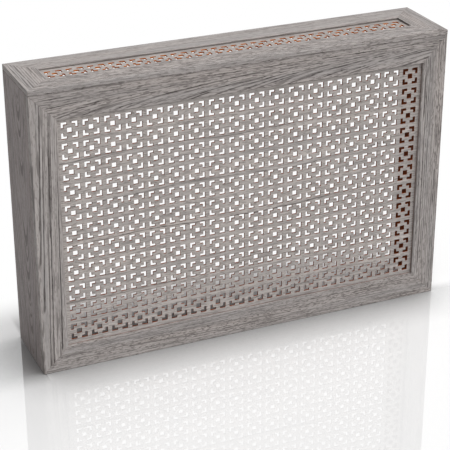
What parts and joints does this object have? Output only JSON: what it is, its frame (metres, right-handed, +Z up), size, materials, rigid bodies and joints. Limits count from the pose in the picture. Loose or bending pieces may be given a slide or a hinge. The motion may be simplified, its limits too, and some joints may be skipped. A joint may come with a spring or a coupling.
{
  "type": "radiator cover cabinet",
  "caption": "Low wood-effect cabinet that hides a radiator, with a perforated front screen and a perforated lid in mitred frames, open at the back and below.",
  "frame": {"origin": "on the floor, in the middle of the width and of the depth", "axes": "+X along the width, towards the right as seen from the front; +Y from the perforated front towards the wall; +Z up"},
  "size_m": [0.9, 0.168, 0.608],
  "materials": {
    "wrapped_board": "fibreboard wrapped in a matt grey-oak decor foil with a straight grain along each board",
    "fibre_sheet": "thin hardboard with a grey-oak decor face, brown fibre showing at the cut edges and behind",
    "plywood": "bare birch plywood",
    "zinc_steel": "zinc-plated pressed steel"
  },
  "bodies": {
    "root": {"screen_top_rail": "wrapped_board", "screen_bottom_rail": "wrapped_board", "screen_left_stile": "wrapped_board", "screen_right_stile": "wrapped_board", "lid_front_bar": "wrapped_board", "lid_back_bar": "wrapped_board", "lid_left_bar": "wrapped_board", "lid_right_bar": "wrapped_board", "left_side_board": "wrapped_board", "right_side_board": "wrapped_board", "screen_perforated_sheet": "fibre_sheet", "lid_perforated_sheet": "fibre_sheet", "screen_mitre_tongue_1": "plywood", "screen_mitre_tongue_2": "plywood", "screen_mitre_tongue_3": "plywood", "screen_mitre_tongue_4": "plywood", "lid_mitre_tongue_1": "plywood", "lid_mitre_tongue_2": "plywood", "lid_mitre_tongue_3": "plywood", "lid_mitre_tongue_4": "plywood", "left_screen_bracket_low": "zinc_steel", "left_screen_bracket_high": "zinc_steel", "left_lid_bracket_front": "zinc_steel", "left_lid_bracket_back": "zinc_steel", "right_screen_bracket_low": "zinc_steel", "right_screen_bracket_high": "zinc_steel", "right_lid_bracket_front": "zinc_steel", "right_lid_bracket_back": "zinc_steel", "left_front_bracket": "zinc_steel", "middle_front_bracket": "zinc_steel", "right_front_bracket": "zinc_steel", "left_wall_bracket": "zinc_steel", "right_wall_bracket": "zinc_steel", "left_screen_bracket_low_screw_a": "zinc_steel", "left_screen_bracket_low_screw_b": "zinc_steel", "left_screen_bracket_high_screw_a": "zinc_steel", "left_screen_bracket_high_screw_b": "zinc_steel", "left_lid_bracket_front_screw_a": "zinc_steel", "left_lid_bracket_front_screw_b": "zinc_steel", "left_lid_bracket_back_screw_a": "zinc_steel", "left_lid_bracket_back_screw_b": "zinc_steel", "right_screen_bracket_low_screw_a": "zinc_steel", "right_screen_bracket_low_screw_b": "zinc_steel", "right_screen_bracket_high_screw_a": "zinc_steel", "right_screen_bracket_high_screw_b": "zinc_steel", "right_lid_bracket_front_screw_a": "zinc_steel", "right_lid_bracket_front_screw_b": "zinc_steel", "right_lid_bracket_back_screw_a": "zinc_steel", "right_lid_bracket_back_screw_b": "zinc_steel", "left_front_bracket_screw_a": "zinc_steel", "left_front_bracket_screw_b": "zinc_steel", "middle_front_bracket_screw_a": "zinc_steel", "middle_front_bracket_screw_b": "zinc_steel", "right_front_bracket_screw_a": "zinc_steel", "right_front_bracket_screw_b": "zinc_steel", "left_wall_bracket_screw_b": "zinc_steel", "right_wall_bracket_screw_b": "zinc_steel"}
  },
  "joints": []
}
